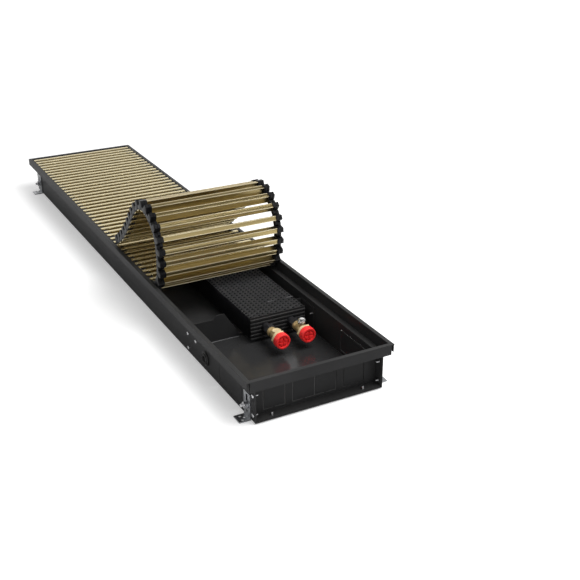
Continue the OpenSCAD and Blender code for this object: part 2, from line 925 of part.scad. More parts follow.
grille_link(17);  // grille_link_18
grille_link(18);  // grille_link_19
grille_link(19);  // grille_link_20
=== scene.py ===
"""Trench convector heater with its roll-up grille rolled back, dressed for rendering.

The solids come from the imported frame. This script gives them their finishes, puts finer
pieces in place of the grille, fins, valves and fasteners, and sets up the studio.
Sizes are in millimetres where a name or comment doesn't say otherwise.
"""
import logging
import math
from dataclasses import dataclass
from enum import Enum

import bmesh
import bpy
from mathutils import Matrix, Vector

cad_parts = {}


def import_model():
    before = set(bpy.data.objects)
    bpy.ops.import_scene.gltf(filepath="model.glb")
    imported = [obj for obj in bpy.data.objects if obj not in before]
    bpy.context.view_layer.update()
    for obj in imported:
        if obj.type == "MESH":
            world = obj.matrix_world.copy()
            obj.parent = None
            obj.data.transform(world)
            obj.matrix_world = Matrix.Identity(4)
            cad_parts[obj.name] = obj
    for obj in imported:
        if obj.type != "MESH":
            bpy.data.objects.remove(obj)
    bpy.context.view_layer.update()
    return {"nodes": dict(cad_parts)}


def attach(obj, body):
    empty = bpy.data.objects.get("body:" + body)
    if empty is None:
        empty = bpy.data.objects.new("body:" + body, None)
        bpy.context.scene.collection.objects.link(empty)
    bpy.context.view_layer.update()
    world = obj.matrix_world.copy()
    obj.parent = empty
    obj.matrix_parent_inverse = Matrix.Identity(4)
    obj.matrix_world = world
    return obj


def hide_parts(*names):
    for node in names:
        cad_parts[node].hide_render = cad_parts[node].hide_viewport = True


Pair = tuple[float, float]
Point = tuple[float, float, float]
Outline = list[Pair]
Mesh = bpy.types.Mesh
Node = bpy.types.Node
Tree = bpy.types.NodeTree
Socket = bpy.types.NodeSocket

LOG = logging.getLogger("trench_heater")
MM = 0.001
SHARP_DEG = 32.0
WELD_MM = 0.0005
WHITE = (1, 1, 1, 1)
SOCKET_KINDS = {3: "NodeSocketVector", 4: "NodeSocketColor"}
PATCH_START, PATCH_GAIN = 0.35, 3.2
DUST_SPECKS, DUST_CLOUDS = 420.0, 9.0
BROAD_SCALE, FINE_SHARE, BROAD_SHARE = 0.11, 0.7, 0.3
EDGE_GAIN = 4.0
BEVEL_SAMPLES = 4


class Coat(Enum):
    """The kinds of surface that the heater has."""

    POWDER = "powder coat"
    BRUSHED = "drawn or brushed metal"
    TURNED = "turned metal"
    MOULDED = "moulded plastic"


def feed(tree: Tree, node: Node, inputs: dict[str | int, object]) -> None:
    """Sets a node's inputs.

    Args:
        tree: Its node tree.
        node: The node.
        inputs: Value of each input, or the socket that feeds it.
    """
    for key, value in inputs.items():
        if isinstance(value, Socket):
            tree.links.new(value, node.inputs[key])
        else:
            node.inputs[key].default_value = value


def add(tree: Tree, kind: str, inputs: dict[str | int, object]) -> Node:
    """Adds a node of a kind, feeds its inputs and returns it."""
    node = tree.nodes.new(kind)
    feed(tree, node, inputs)
    return node


def maths(tree: Tree, operation: str, first: object, second: object, clamp: bool = False) -> Socket:
    """Adds a Math node.

    Args:
        tree: Node tree to add to.
        operation: Blender's name of the operation.
        first: Socket or number.
        second: Socket or number.
        clamp: Whether the result stays between 0 and 1.

    Returns:
        The node's output socket.
    """
    node = add(tree, "ShaderNodeMath", {0: first, 1: second})
    node.operation = operation
    node.use_clamp = clamp
    return node.outputs[0]


def vector_maths(tree: Tree, operation: str, *vectors: Socket) -> Node:
    """Adds a Vector Math node on one or two vectors and returns it."""
    node = add(tree, "ShaderNodeVectorMath", dict(enumerate(vectors)))
    node.operation = operation
    return node


def noise(tree: Tree, vector: Socket, scale: object, detail: float) -> Socket:
    """Adds a Noise Texture.

    Args:
        tree: Node tree to add to.
        vector: Socket with the coordinates.
        scale: Socket or number for the scale, per metre.
        detail: Octaves.

    Returns:
        The factor socket.
    """
    return add(tree, "ShaderNodeTexNoise", {"Vector": vector, "Scale": scale, "Detail": detail}).outputs["Fac"]


def blend(tree: Tree, factor: Socket, first: object, second: object) -> Socket:
    """Mixes two colours by a factor socket and returns the colour socket."""
    node = add(tree, "ShaderNodeMix", {"Factor": factor, 6: first, 7: second})
    node.data_type = "RGBA"
    return node.outputs[2]


def fade(tree: Tree, value: Socket, span: Pair, start: float, end: float) -> Socket:
    """Goes smoothly from one number to another.

    Args:
        tree: Node tree to add to.
        value: Socket that is followed.
        span: Where it starts and where it ends.
        start: Result up to the start.
        end: Result from the end on.

    Returns:
        The result socket.
    """
    limits = {"From Min": span[0], "From Max": span[1], "To Min": start, "To Max": end}
    node = add(tree, "ShaderNodeMapRange", {"Value": value, **limits})
    node.interpolation_type = "SMOOTHSTEP"
    return node.outputs["Result"]


def new_group(name: str, inputs: dict[str, object], outputs: dict[str, str]) -> tuple[Tree, object, Node]:
    """Makes an empty node group.

    Args:
        name: Name of the group.
        inputs: Default of each input: a number, a vector or a colour.
        outputs: Socket type for each output.

    Returns:
        The group, the sockets of its input node, and its output node.
    """
    tree = bpy.data.node_groups.new(name, "ShaderNodeTree")
    for label, value in inputs.items():
        kind = "NodeSocketFloat" if isinstance(value, float) else SOCKET_KINDS[len(value)]
        tree.interface.new_socket(label, in_out="INPUT", socket_type=kind).default_value = value
    for label, kind in outputs.items():
        tree.interface.new_socket(label, in_out="OUTPUT", socket_type=kind)
    return tree, tree.nodes.new("NodeGroupInput").outputs, tree.nodes.new("NodeGroupOutput")


def tone_drift(name: str) -> Tree:
    """Group for colour that drifts in patches, with dust settled on faces that look up."""
    inputs = {
        "Colour": (0.5, 0.5, 0.5, 1), "Second Colour": (0.4, 0.4, 0.4, 1), "Patch Scale": 30.0, "Drift": 0.5,
        "Dust Colour": (0.35, 0.34, 0.32, 1), "Dust": 0.0,
    }
    tree, given, out = new_group(name, inputs, {"Colour": "NodeSocketColor"})
    place = tree.nodes.new("ShaderNodeTexCoord").outputs
    patches = noise(tree, place["Object"], given["Patch Scale"], 5)
    steep = maths(tree, "MULTIPLY", maths(tree, "SUBTRACT", patches, PATCH_START), PATCH_GAIN, True)
    drift = maths(tree, "MULTIPLY", steep, given["Drift"], True)
    colour = blend(tree, drift, given["Colour"], given["Second Colour"])
    facing = add(tree, "ShaderNodeSeparateXYZ", {0: place["Normal"]})
    up = maths(tree, "MAXIMUM", facing.outputs["Z"], 0.0)
    specks = noise(tree, place["Object"], DUST_SPECKS, 6)
    lying = maths(tree, "MULTIPLY", specks, noise(tree, place["Object"], DUST_CLOUDS, 3))
    mask = maths(tree, "MULTIPLY", maths(tree, "MULTIPLY", lying, up), given["Dust"], True)
    feed(tree, out, {"Colour": blend(tree, mask, colour, given["Dust Colour"])})
    return tree


def surface_relief(name: str) -> Tree:
    """Group for fine relief, drawn out along an axis where Stretch is uneven."""
    inputs = {"Scale": 900.0, "Stretch": (1, 1, 1), "Roughness": 0.4, "Roughness Spread": 0.1}
    tree, given, out = new_group(name, inputs, {"Height": "NodeSocketFloat", "Roughness": "NodeSocketFloat"})
    place = tree.nodes.new("ShaderNodeTexCoord").outputs["Object"]
    where = vector_maths(tree, "MULTIPLY", place, given["Stretch"]).outputs[0]
    fine = noise(tree, where, given["Scale"], 4)
    broad = noise(tree, where, maths(tree, "MULTIPLY", given["Scale"], BROAD_SCALE), 3)
    broad = maths(tree, "MULTIPLY", broad, BROAD_SHARE)
    height = maths(tree, "ADD", maths(tree, "MULTIPLY", fine, FINE_SHARE), broad)
    spread = maths(tree, "MULTIPLY", maths(tree, "SUBTRACT", height, 0.5), given["Roughness Spread"])
    feed(tree, out, {"Height": height, "Roughness": maths(tree, "ADD", given["Roughness"], spread, True)})
    return tree


def sheet_edge(name: str) -> Tree:
    """Group for the rounded look along the edges of a folded sheet, and the mask where a painted highlight goes on
    them.
    """
    outputs = {"Normal": "NodeSocketVector", "Edge Mask": "NodeSocketFloat"}
    tree, given, out = new_group(name, {"Radius": 0.0006}, outputs)
    bevel = add(tree, "ShaderNodeBevel", {"Radius": given["Radius"]})
    bevel.samples = BEVEL_SAMPLES
    flat = tree.nodes.new("ShaderNodeNewGeometry").outputs["Normal"]
    likeness = vector_maths(tree, "DOT_PRODUCT", bevel.outputs[0], flat).outputs["Value"]
    mask = maths(tree, "MULTIPLY", maths(tree, "SUBTRACT", 1.0, likeness), EDGE_GAIN, True)
    feed(tree, out, {"Normal": bevel.outputs[0], "Edge Mask": mask})
    return tree


EFFECTS = {"tone_drift": tone_drift, "surface_relief": surface_relief, "sheet_edge": sheet_edge}


def effect(tree: Tree, name: str, inputs: dict[str, object]) -> Node:
    """Places a shared effect, whose group is made when it is first needed.

    Args:
        tree: Node tree to add to.
        name: Name of the effect.
        inputs: Values of its inputs.

    Returns:
        The group's node.
    """
    node = tree.nodes.new("ShaderNodeGroup")
    node.node_tree = bpy.data.node_groups.get(name) or EFFECTS[name](name)
    feed(tree, node, inputs)
    return node


@dataclass(frozen=True)
class Finish:
    """One finish of the heater, from which its material is made."""

    name: str
    coat: Coat
    colour: Point
    second: Point
    roughness: float
    metallic: float = 0.0
    coat_weight: float = 0.0
    specular: float = 0.5
    relief_scale: float = 900.0
    relief_depth: float = 0.02
    stretch: Point = (1.0, 1.0, 1.0)
    spread: float = 0.2
    patch_scale: float = 30.0
    drift: float = 0.5
    dust: float = 0.0
    edge_mm: float = 0.0
    edge_highlight_colour: Point = (0.2, 0.2, 0.2)
    edge_highlight: float = 0.0

    def material(self) -> bpy.types.Material:
        """Makes the material on first use.

        Returns:
            The material of this finish.
        """
        known = bpy.data.materials.get(self.name)
        if known:
            return known
        made = bpy.data.materials.new(self.name)
        made.use_nodes = True
        tree = made.node_tree
        tone = effect(tree, "tone_drift", {
            "Colour": (*self.colour, 1), "Second Colour": (*self.second, 1),
            "Patch Scale": self.patch_scale, "Drift": self.drift, "Dust": self.dust,
        })
        relief = effect(tree, "surface_relief", {
            "Scale": self.relief_scale, "Stretch": self.stretch,
            "Roughness": self.roughness, "Roughness Spread": self.spread,
        })
        depth = {"Strength": 1.0, "Distance": self.relief_depth * MM}
        bump = add(tree, "ShaderNodeBump", {**depth, "Height": relief.outputs["Height"]})
        colour = tone.outputs["Colour"]
        if self.edge_mm:
            edge = effect(tree, "sheet_edge", {"Radius": self.edge_mm * MM})
            feed(tree, bump, {"Normal": edge.outputs["Normal"]})
            # A lighter colour blended in along the edges is a painted highlight of the lit sheet edges.
            if self.edge_highlight:
                lit_edges = maths(tree, "MULTIPLY", edge.outputs["Edge Mask"], self.edge_highlight)
                colour = blend(tree, lit_edges, colour, (*self.edge_highlight_colour, 1))
        feed(tree, tree.nodes["Principled BSDF"], {
            "Metallic": self.metallic, "Coat Weight": self.coat_weight, "Specular IOR Level": self.specular,
            "Normal": bump.outputs["Normal"], "Roughness": relief.outputs["Roughness"], "Base Color": colour,
        })
        LOG.info("%s: %s", self.name, self.coat.value)
        return made


# The lighter edge colour on the casing is a painted highlight along its lit sheet edges.
CASING_BLACK = Finish(
    "casing_powder_coat", Coat.POWDER, (0.026, 0.026, 0.0265), (0.034, 0.034, 0.0345), 0.36,
    specular=0.05, relief_scale=1500, relief_depth=0.014, spread=0.22, patch_scale=14,
    drift=0.6, dust=0.08, edge_mm=0.4, edge_highlight_colour=(0.10, 0.10, 0.10), edge_highlight=0.3,
)
FLOOR_SATIN = Finish(
    "floor_satin_coat", Coat.POWDER, (0.026, 0.026, 0.0265), (0.034, 0.034, 0.0345), 0.20,
    specular=0.35, relief_scale=1500, relief_depth=0.006, spread=0.2, patch_scale=14, drift=0.5,
)
# The lighter edge colour on the end plates is a painted highlight along the lit rib edges.
EXCHANGER_BLACK = Finish(
    "exchanger_matt_coat", Coat.POWDER, (0.016, 0.016, 0.017), (0.026, 0.025, 0.025), 0.45,
    specular=0.25, relief_scale=1100, relief_depth=0.02, spread=0.2, patch_scale=60, drift=0.7, dust=0.15,
    edge_mm=0.3, edge_highlight_colour=(0.06, 0.06, 0.06), edge_highlight=0.3,
)
# Light grey for thin strips along plate edges on and beside the fins: painted highlight lines.
STRIP_HIGHLIGHT = Finish(
    "strip_painted_highlight", Coat.POWDER, (0.16, 0.16, 0.165), (0.10, 0.10, 0.10), 0.4,
    relief_scale=1200, relief_depth=0.01, spread=0.2, patch_scale=80, drift=0.7,
)
# Light grey for the wavy tops of the black fins: painted light on the lit top of the fin pack, with real dust
# settled on it. The fin plates keep the black coat.
FIN_LIT_TOP = Finish(
    "fin_top_painted_light", Coat.POWDER, (0.17, 0.17, 0.172), (0.21, 0.208, 0.204), 0.55,
    specular=0.4, relief_scale=900, relief_depth=0.02, spread=0.25, patch_scale=45, drift=0.8, dust=0.5,
)
PIPE_BLACK = Finish(
    "pipe_matt_coat", Coat.POWDER, (0.012, 0.012, 0.014), (0.020, 0.019, 0.021), 0.32,
    relief_scale=1300, relief_depth=0.012, spread=0.2, patch_scale=90, drift=0.6, dust=0.1,
)
ZINC = Finish(
    "zinc_plated_steel", Coat.BRUSHED, (0.42, 0.43, 0.44), (0.30, 0.31, 0.33), 0.34, metallic=1.0,
    relief_scale=700, relief_depth=0.008, stretch=(1.0, 1.0, 0.12), spread=0.3, patch_scale=110,
    drift=0.8, dust=0.1, edge_mm=0.3,
)
SCREW_ZINC = Finish(
    "screw_zinc", Coat.TURNED, (0.66, 0.66, 0.67), (0.50, 0.50, 0.52), 0.26, metallic=1.0,
    relief_scale=1600, relief_depth=0.006, spread=0.2, patch_scale=260, drift=0.7,
)
CAST_BRASS = Finish(
    "cast_brass", Coat.TURNED, (0.70, 0.53, 0.27), (0.58, 0.42, 0.19), 0.40, metallic=0.6,
    relief_scale=1300, relief_depth=0.01, spread=0.2, patch_scale=120, drift=0.6,
)
BRASS = Finish(
    "turned_brass", Coat.TURNED, (0.92, 0.75, 0.45), (0.84, 0.65, 0.35), 0.30, metallic=0.4,
    relief_scale=1500, relief_depth=0.003, stretch=(1.0, 0.2, 1.0), spread=0.2, patch_scale=120, drift=0.5,
)
NICKEL = Finish(
    "nickel_plate", Coat.TURNED, (0.86, 0.85, 0.83), (0.70, 0.69, 0.67), 0.12, metallic=1.0,
    relief_scale=1500, relief_depth=0.003, spread=0.2, patch_scale=220, drift=0.6,
)
GRILLE_GOLD = Finish(
    "grille_anodised_gold", Coat.BRUSHED, (0.78, 0.67, 0.40), (0.70, 0.59, 0.33), 0.23, metallic=0.94,
    relief_scale=520, relief_depth=0.0015, stretch=(0.05, 1.0, 1.0), spread=0.25, patch_scale=24, drift=0.5,
    dust=0.03,
)
# Paler, less metallic copy of the grille gold on thin strips along the slat edges: painted highlight for the
# bright edge lines.
GRILLE_EDGE_HIGHLIGHT = Finish(
    "grille_painted_edge_highlight", Coat.BRUSHED, (0.78, 0.68, 0.45), (0.70, 0.60, 0.38), 0.24, metallic=0.50,
    relief_scale=520, relief_depth=0.001, stretch=(0.05, 1.0, 1.0), spread=0.2, patch_scale=24, drift=0.5,
)
# Darker olive copy of the grille gold for the webs and lower flanges: painted shade for the gaps between the
# slats, which are all one anodised finish.
GRILLE_PAINTED_SHADE = Finish(
    "grille_painted_shade", Coat.BRUSHED, (0.47, 0.37, 0.17), (0.38, 0.30, 0.13), 0.32, metallic=0.92,
    relief_scale=520, relief_depth=0.0015, stretch=(0.05, 1.0, 1.0), spread=0.2, patch_scale=24, drift=0.5,
)
LINK_BLACK = Finish(
    "link_moulded_black", Coat.MOULDED, (0.006, 0.006, 0.007), (0.010, 0.010, 0.011), 0.33,
    specular=0.22, relief_scale=1400, relief_depth=0.012, spread=0.25, patch_scale=160, drift=0.6, dust=0.04,
)
RUBBER = Finish(
    "grommet_rubber", Coat.MOULDED, (0.010, 0.010, 0.010), (0.016, 0.015, 0.015), 0.5,
    specular=0.4, relief_scale=1300, relief_depth=0.02, spread=0.2, patch_scale=150, drift=0.6, dust=0.1,
)
GASKET = Finish(
    "gasket_fibre", Coat.MOULDED, (0.09, 0.09, 0.09), (0.06, 0.06, 0.06), 0.75,
    relief_scale=1500, relief_depth=0.03, spread=0.2, patch_scale=300, drift=0.7,
)
CAP_RED = Finish(
    "cap_moulded_red", Coat.MOULDED, (1.0, 0.040, 0.040), (0.94, 0.030, 0.030), 0.36,
    coat_weight=0.10, relief_scale=1100, relief_depth=0.008, spread=0.2, patch_scale=140, drift=0.4,
)

COATED = {
    CASING_BLACK: ("casing_trough", "end_panel_near", "end_panel_far"),
    EXCHANGER_BLACK: ("exchanger_end_plates",),
    PIPE_BLACK: ("exchanger_tube",),
    GASKET: ("cap_gasket_left", "cap_gasket_right"),
    ZINC: ("bracket_near_left", "bracket_near_right", "bracket_far_left", "bracket_far_right", "bracket_washers"),
}


def coat(nodes: dict[str, bpy.types.Object]) -> None:
    """Paints the CAD nodes that stay in view.

    Args:
        nodes: All CAD nodes by name.
    """
    for finish, names in COATED.items():
        for name in names:
            node = nodes[name]
            if not node.material_slots:
                node.data.materials.append(finish.material())
            for slot in node.material_slots:
                slot.material = finish.material()
            LOG.info("%s: %s", name, finish.name)


class Workpiece:
    """A mesh under construction in the heater's frame, in millimetres until it is finished."""

    def __init__(self) -> None:
        self.bm = bmesh.new()

    def soften(self, edges: list[bmesh.types.BMEdge], width: float, segments: int = 2) -> None:
        """Rounds edges over.

        Args:
            edges: Edges to bevel.
            width: Width of the bevel.
            segments: Steps across it.
        """
        bmesh.ops.bevel(
            self.bm, geom=edges, offset=width, offset_type="OFFSET", segments=segments,
            profile=0.5, affect="EDGES", material=-1, clamp_overlap=True,
        )

    def box(self, low: Point, high: Point, round_mm: float = 0.0,
            segments: int = 2) -> None:
        """Adds a block.

        Args:
            low: Lowest corner.
            high: Highest corner.
            round_mm: Width of the bevel on its edges.
            segments: Steps across the bevel.
        """
        made = bmesh.ops.create_cube(self.bm, size=1.0)["verts"]
        size = Vector(high) - Vector(low)
        bmesh.ops.scale(self.bm, vec=size, verts=made)
        bmesh.ops.translate(self.bm, vec=Vector(low) + size / 2, verts=made)
        if round_mm:
            self.soften(list({e for v in made for e in v.link_edges}), round_mm, segments)

    def extrude(self, face: bmesh.types.BMFace) -> tuple[list[bmesh.types.BMVert], bmesh.types.BMFace]:
        """Extrudes a face where it is and returns the new corners and the new face."""
        grown = bmesh.ops.extrude_face_region(self.bm, geom=[face])["geom"]
        moved = [v for v in grown if isinstance(v, bmesh.types.BMVert)]
        return moved, next(f for f in grown if isinstance(f, bmesh.types.BMFace))

    def prism(self, outline: Outline, start: float, end: float, round_mm: float = 0.0,
              along_edges: bool = False) -> None:
        """Extrudes an outline in the YZ plane along X.

        Args:
            outline: Corners as (y, z).
            start: X of the first end.
            end: X of the second end.
            round_mm: Width of the bevel.
            along_edges: Bevels the long edges if true, and the rims of both ends otherwise.
        """
        ring = [self.bm.verts.new((start, y, z)) for y, z in outline]
        moved, _ = self.extrude(self.bm.faces.new(ring))
        bmesh.ops.translate(self.bm, vec=(end - start, 0, 0), verts=moved)
        if round_mm:
            edges = {e for v in ring + moved for e in v.link_edges}
            lengthwise = {e for e in edges if abs(e.verts[0].co.x - e.verts[1].co.x) > abs(end - start) / 2}
            self.soften(list(lengthwise if along_edges else edges - lengthwise), round_mm)

    def turned(self, profile: Outline, at: Point,
               along: Point, steps: int = 48) -> None:
        """Turns a profile into a round solid.

        Args:
            profile: Points as (radius, distance along the axis).
            at: Point on the axis where the distance is zero.
            along: Direction of the axis.
            steps: Steps round the axis.
        """
        axis = Vector(along).normalized()
        side = axis.orthogonal().normalized()
        centre = Vector(at)
        points = [self.bm.verts.new(centre + side * r + axis * h) for r, h in profile]
        edges = [self.bm.edges.new(pair) for pair in zip(points, points[1:])]
        bmesh.ops.spin(
            self.bm, geom=points + edges, cent=centre, axis=axis, dvec=(0, 0, 0),
            angle=math.tau, steps=steps, use_merge=True, use_normal_flip=False, use_duplicate=False,
        )

    def thread(self, radius: float, depth: float, pitch: float, length: float, at: Point,
               along: Point, steps: int) -> None:
        """Winds a V-shaped ridge round a shank.

        Args:
            radius: Radius of the thread's root.
            depth: Height of the ridge.
            pitch: Advance in one turn.
            length: Length of the thread.
            at: Start, on the axis.
            along: Direction of the axis.
            steps: Steps in one turn.
        """
        axis = Vector(along).normalized()
        side = axis.orthogonal().normalized()
        centre = Vector(at)
        corners = [(radius - 0.15, 0.0), (radius + depth, pitch * 0.42), (radius - 0.15, pitch * 0.84)]
        ring = [self.bm.verts.new(centre + side * r + axis * h) for r, h in corners]
        count = round(max(length / pitch - 1, 1) * steps)
        bmesh.ops.spin(
            self.bm, geom=[self.bm.faces.new(ring)], cent=centre, axis=axis, dvec=axis * (pitch / steps),
            angle=math.tau * count / steps, steps=count, use_merge=False, use_normal_flip=False,
            use_duplicate=False,
        )

    def stamp(self, mesh: Mesh, place: Matrix) -> None:
        """Adds a copy of a finished mesh.

        Args:
            mesh: Mesh in millimetres.
            place: Where it goes.
        """
        count = len(self.bm.verts)
        self.bm.from_mesh(mesh)
        self.bm.verts.ensure_lookup_table()
        bmesh.ops.transform(self.bm, matrix=place, verts=self.bm.verts[count:])

    def template(self, name: str) -> Mesh:
        """Closes the mesh for use in stamp().

        Args:
            name: Name of the mesh.

        Returns:
            The mesh, still in millimetres.
        """
        self._close()
        mesh = bpy.data.meshes.new(name)
        self.bm.to_mesh(mesh)
        self.bm.free()
        return mesh

    def _close(self) -> None:
        """Merges doubles, turns the faces outwards and marks the sharp edges."""
        bmesh.ops.remove_doubles(self.bm, verts=self.bm.verts, dist=WELD_MM)
        bmesh.ops.recalc_face_normals(self.bm, faces=self.bm.faces)
        for face in self.bm.faces:
            face.smooth = True
        limit = math.radians(SHARP_DEG)
        for edge in self.bm.edges:
            edge.smooth = len(edge.link_faces) == 2 and edge.calc_face_angle(0.0) < limit

    def finish(self, name: str, body: str, look: Finish, slot: str, nodes: tuple[str, ...] = (),
               weld: bool = True) -> None:
        """Turns the mesh into a piece of the heater.

        Args:
            name: Name of the piece.
            body: CAD body that it rides on.
            look: Its finish.
            slot: Material slot of the record. It is not used.
            nodes: CAD nodes that it stands for.
            weld: Whether the mesh still has to be merged and turned outwards.
        """
        if weld:
            self._close()
        bmesh.ops.scale(self.bm, vec=(MM, MM, MM), verts=self.bm.verts)
        mesh = bpy.data.meshes.new(name)
        self.bm.to_mesh(mesh)
        self.bm.free()
        mesh.materials.append(look.material())
        piece = bpy.data.objects.new(name, mesh)
        bpy.context.scene.collection.objects.link(piece)
        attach(piece, body)
        if nodes:
            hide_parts(*nodes)
        LOG.info("%s: %d faces, rides on %s", name, len(mesh.polygons), body)


def arc(centre: Pair, radius: float, start_deg: float, end_deg: float, steps: int) -> Outline:
    """Points on an arc.

    Args:
        centre: Middle of the arc.
        radius: Its radius.
        start_deg: Angle of the first point.
        end_deg: Angle of the last point.
        steps: Number of steps between them.

    Returns:
        The points in order.
    """
    angles = [math.radians(start_deg + (end_deg - start_deg) * k / steps) for k in range(steps + 1)]
    return [(centre[0] + radius * math.cos(a), centre[1] + radius * math.sin(a)) for a in angles]


def turn_to(at: Point, axis: Point) -> Matrix:
    """Matrix that carries a piece drawn along +Z to a place and direction."""
    return Matrix.Translation(Vector(at)) @ Vector(axis).to_track_quat("Z", "Y").to_matrix().to_4x4()


def rotation(degrees: float, axis: str = "Z") -> Matrix:
    """Matrix that turns a piece about an axis through the origin."""
    return Matrix.Rotation(math.radians(degrees), 4, axis)


@dataclass(frozen=True)
class Lamp:
    """Soft rectangular lamp, in metres and watts."""

    name: str
    at: Point
    aim: Point
    width: float
    height: float
    power: float
    mirrored: bool = False

    def hang(self) -> None:
        """Hangs the lamp. Glossy surfaces show it only if it is mirrored."""
        data = bpy.data.lights.new(self.name, "AREA")
        data.shape = "RECTANGLE"
        data.size, data.size_y = self.width, self.height
        data.energy = self.power
        lamp = bpy.data.objects.new(self.name, data)
        lamp.location = self.at
        lamp.visible_glossy = self.mirrored
        lamp.rotation_euler = (Vector(self.aim) - Vector(self.at)).to_track_quat("-Z", "Y").to_euler()
        bpy.context.scene.collection.objects.link(lamp)


@dataclass
class Studio:
    """Camera, lamps and pale floor, in metres."""

    camera_at: Point = (-0.658971, -1.738390, 0.812218)
    down_deg: float = 25.13387
    turn_deg: float = -28.24624
    lens_mm: float = 60.3663
    sensor_mm: float = 36.0
    clip_start: float = 0.05
    ambient: float = 0.54
    overhead: float = 0.10
    overhead_span: Pair = (0.44, 0.80)
    front: float = 0.8
    front_span: Pair = (-0.7, 0.3)
    floor_size: float = 14.0
    floor_drop: float = 0.0002
    floor_grey: float = 0.86
    floor_roughness: float = 0.9
    floor_specular: float = 0.1
    glow_span: Pair = (0.9, 2.6)
    glow: Pair = (0.32, 0.75)
    lamps: tuple[Lamp, ...] = (
        Lamp("key_overhead", (0.78, -1.0, 2.3), (0.0, -0.1, 0.05), 1.6, 1.6, 56.0),
        Lamp("front_fill", (0.5, -2.4, 0.9), (0.0, -0.5, 0.03), 1.6, 1.0, 4.0),
        Lamp("strip", (0.80, -0.92, 2.15), (0.0, -0.1, 0.15), 1.6, 0.08, 2.4, True),
    )

    def build(self) -> None:
        """Makes the world, floor, lamps and camera."""
        scene = bpy.context.scene
        scene.view_settings.view_transform = "Standard"
        self._world(scene)
        self._floor(scene)
        for lamp in self.lamps:
            lamp.hang()
        data = bpy.data.cameras.new("photo_camera")
        data.lens = self.lens_mm
        data.sensor_width = self.sensor_mm
        data.clip_start = self.clip_start
        camera = bpy.data.objects.new("photo_camera", data)
        camera.location = self.camera_at
        camera.rotation_euler = (math.radians(90 - self.down_deg), 0.0, math.radians(self.turn_deg))
        scene.collection.objects.link(camera)
        scene.camera = camera
        LOG.info("studio: camera, floor and %d lamps", len(self.lamps))

    def _world(self, scene: bpy.types.Scene) -> None:
        """Surroundings that are white to the camera, and to gloss white low down and dim overhead."""
        world = bpy.data.worlds.new("studio_white")
        world.use_nodes = True
        scene.world = world
        tree = world.node_tree
        place = tree.nodes.new("ShaderNodeTexCoord").outputs["Generated"]
        parts = add(tree, "ShaderNodeSeparateXYZ", {0: place}).outputs
        above = fade(tree, parts["Z"], self.overhead_span, 1.0, self.overhead)
        ahead = fade(tree, parts["Y"], self.front_span, self.front, 1.0)
        path = tree.nodes.new("ShaderNodeLightPath").outputs
        gloss = maths(tree, "MAXIMUM", path["Is Glossy Ray"], path["Is Transmission Ray"])
        strength = self.ambient
        for share, value in ((gloss, maths(tree, "MULTIPLY", above, ahead)), (path["Is Camera Ray"], 1.0)):
            strength = add(tree, "ShaderNodeMix", {"Factor": share, "A": strength, "B": value}).outputs["Result"]
        feed(tree, tree.nodes["Background"], {"Color": WHITE, "Strength": strength})

    def _floor(self, scene: bpy.types.Scene) -> None:
        """Pale floor that keeps the heater's soft shadow and glows more further out."""
        bm = bmesh.new()
        bmesh.ops.create_grid(bm, x_segments=1, y_segments=1, size=self.floor_size / 2)
        mesh = bpy.data.meshes.new("studio_floor")
        bm.to_mesh(mesh)
        bm.free()
        floor = bpy.data.objects.new("studio_floor", mesh)
        floor.location.z = -self.floor_drop
        scene.collection.objects.link(floor)
        made = bpy.data.materials.new("studio_floor")
        made.use_nodes = True
        tree = made.node_tree
        place = tree.nodes.new("ShaderNodeTexCoord").outputs["Object"]
        away = vector_maths(tree, "LENGTH", place).outputs["Value"]
        path = tree.nodes.new("ShaderNodeLightPath").outputs
        seen = maths(tree, "MAXIMUM", path["Is Camera Ray"], path["Is Transmission Ray"])
        glow = maths(tree, "MULTIPLY", seen, fade(tree, away, self.glow_span, *self.glow))
        grey = self.floor_grey
        feed(tree, tree.nodes["Principled BSDF"], {
            "Base Color": (grey, grey, grey, 1), "Roughness": self.floor_roughness,
            "Specular IOR Level": self.floor_specular, "Emission Color": WHITE, "Emission Strength": glow,
        })
        mesh.materials.append(made)


